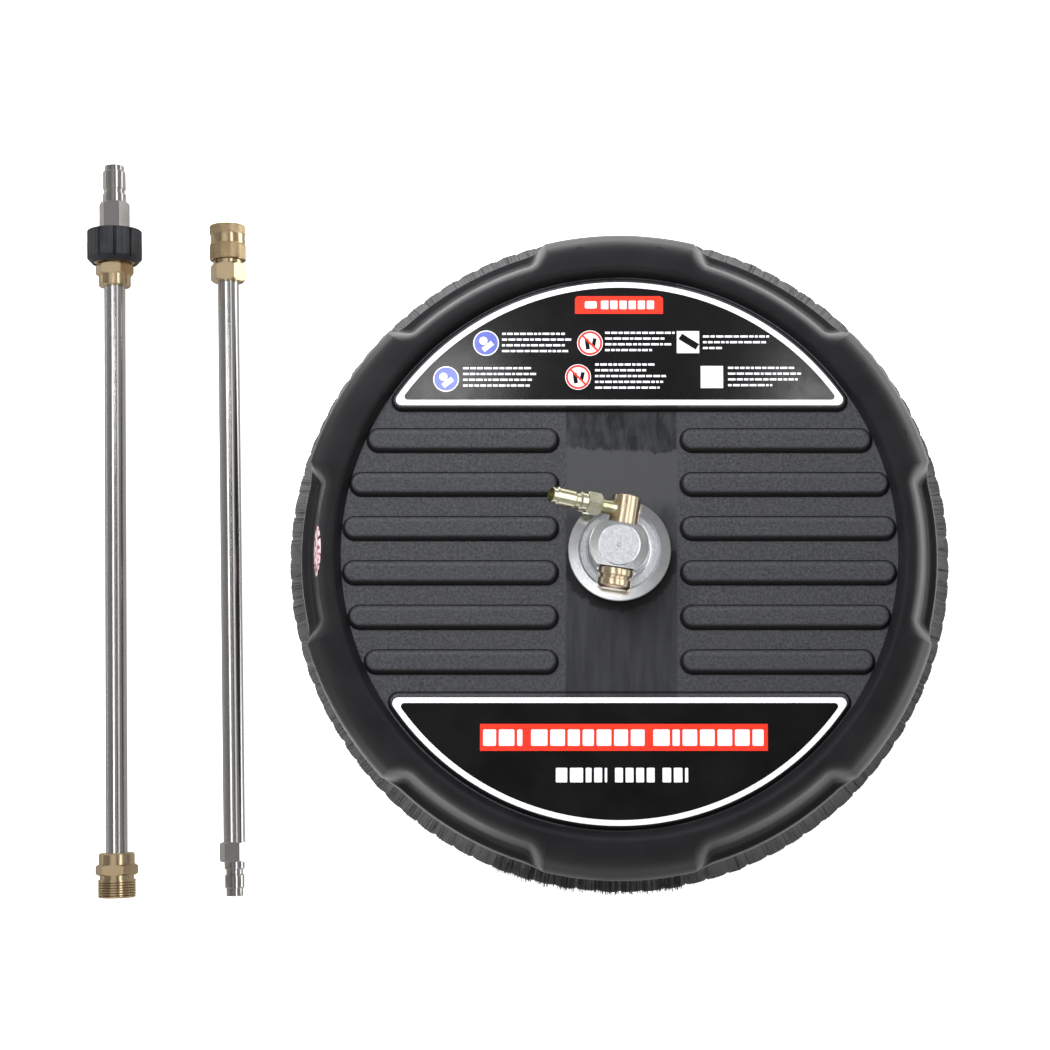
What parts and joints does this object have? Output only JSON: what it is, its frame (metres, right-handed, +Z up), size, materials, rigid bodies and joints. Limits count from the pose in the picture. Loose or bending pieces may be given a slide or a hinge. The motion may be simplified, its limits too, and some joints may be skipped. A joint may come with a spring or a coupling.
{
  "type": "surface cleaner",
  "caption": "Round pressure-washer surface cleaner with a bristle skirt, a spinning spray bar and a tilting inlet, and two extension wands beside it.",
  "frame": {"origin": "on the ground under the spray bar's spin axis, at the level of the bristle tips", "axes": "+Z up along the spin axis, +Y the way the wands' quick-connect ends point, +X to the right with the wands on the -X side"},
  "size_m": [0.5247, 0.442, 0.0968],
  "materials": {
    "deck_plastic": "moulded, fine texture on the plate and smooth on the rim",
    "label_print": "glossy vinyl",
    "sticker_film": "printed film",
    "carrier_plastic": "moulded",
    "bristle_nylon": "bundled nylon bristles",
    "zinc_steel": "bright zinc plate",
    "turned_aluminium": "turned",
    "seal_rubber": "smooth",
    "bearing_steel": "ground",
    "spindle_steel": "turned stainless",
    "turned_stainless": "turned stainless",
    "tube_stainless": "drawn and polished along its length",
    "pivot_brass": "turned",
    "fitting_brass": "turned and hexagon bar stock",
    "yellow_zinc": "yellow zinc plate",
    "nut_plastic": "moulded, fine texture",
    "spring_steel": "drawn wire"
  },
  "bodies": {
    "deck": {"deck_housing": "deck_plastic", "rear_label": "label_print", "front_label": "label_print", "oval_sticker": "sticker_film", "brush_carrier_ring": "carrier_plastic", "bristle_skirt": "bristle_nylon", "skirt_screws": "zinc_steel", "swivel_body": "turned_aluminium", "swivel_gasket": "seal_rubber", "clamp_washer": "zinc_steel", "clamp_nut": "zinc_steel", "upper_bearing_outer_ring": "bearing_steel", "lower_bearing_outer_ring": "bearing_steel", "bearing_circlip": "spring_steel", "shaft_seal": "seal_rubber"},
    "spray_bar": {"spindle": "spindle_steel", "upper_bearing_inner_ring": "bearing_steel", "lower_bearing_inner_ring": "bearing_steel", "spindle_circlip": "spring_steel", "spray_hub": "fitting_brass", "hub_nut": "zinc_steel", "right_spray_arm": "tube_stainless", "left_spray_arm": "tube_stainless", "arm_locknuts": "fitting_brass", "nozzle_holders": "fitting_brass", "spray_tips": "turned_stainless"},
    "upper_ball_set": {"upper_bearing_balls": "bearing_steel"},
    "lower_ball_set": {"lower_bearing_balls": "bearing_steel"},
    "inlet": {"pivot_elbow": "pivot_brass", "pivot_o_rings": "seal_rubber", "pivot_collar": "pivot_brass", "pivot_nut": "pivot_brass", "inlet_plug": "yellow_zinc"},
    "wand_a": {"wand_a_tube": "tube_stainless", "wand_a_thread_fitting": "fitting_brass", "wand_a_upper_fitting": "fitting_brass", "wand_a_plug": "turned_stainless", "wand_a_o_ring": "seal_rubber"},
    "nut_assembly": {"hand_nut": "nut_plastic", "hand_nut_insert": "fitting_brass"},
    "wand_b": {"wand_b_tube": "tube_stainless", "wand_b_plug": "turned_stainless", "socket_body": "fitting_brass", "socket_o_ring": "seal_rubber", "lock_balls": "bearing_steel", "sleeve_spring": "spring_steel", "spring_seat": "zinc_steel", "sleeve_stop_ring": "spring_steel"},
    "sleeve": {"socket_sleeve": "fitting_brass"}
  },
  "joints": [
    {"name": "spray_spin", "type": "hinge", "parent": "deck", "child": "spray_bar", "pos_m": [0, 0, 0.0245], "axis": [0, 0, 1], "continuous": true},
    {"name": "upper_balls_spin", "type": "hinge", "parent": "deck", "child": "upper_ball_set", "pos_m": [0, 0, 0.047], "axis": [0, 0, 1], "continuous": true},
    {"name": "lower_balls_spin", "type": "hinge", "parent": "deck", "child": "lower_ball_set", "pos_m": [0, 0, 0.039], "axis": [0, 0, 1], "continuous": true},
    {"name": "inlet_tilt", "type": "hinge", "parent": "deck", "child": "inlet", "pos_m": [0, 0, 0.071], "axis": [0.1478, 0.989, 0], "range_deg": [-27, 153]},
    {"name": "wand_a_lift", "type": "slide", "parent": "deck", "child": "wand_a", "axis": [0, 0, 1], "range_m": [0, 0.3]},
    {"name": "hand_nut_turn", "type": "hinge", "parent": "wand_a", "child": "nut_assembly", "pos_m": [-0.30739, 0.18872, 0.01674], "axis": [-0.0267, 0.9995, 0.0146], "continuous": true},
    {"name": "wand_b_lift", "type": "slide", "parent": "deck", "child": "wand_b", "axis": [0, 0, 1], "range_m": [0, 0.3]},
    {"name": "sleeve_slide", "type": "slide", "parent": "wand_b", "child": "sleeve", "axis": [0.0295, -0.9995, -0.0099], "range_m": [0, 0.002], "stiffness_N_per_m": 1500, "springref_m": -0.004, "deforming": ["sleeve_spring"]}
  ],
  "couplings": [
    {"joint": "upper_balls_spin", "follows": "spray_spin", "ratio": 0.3956},
    {"joint": "lower_balls_spin", "follows": "spray_spin", "ratio": 0.3956}
  ]
}
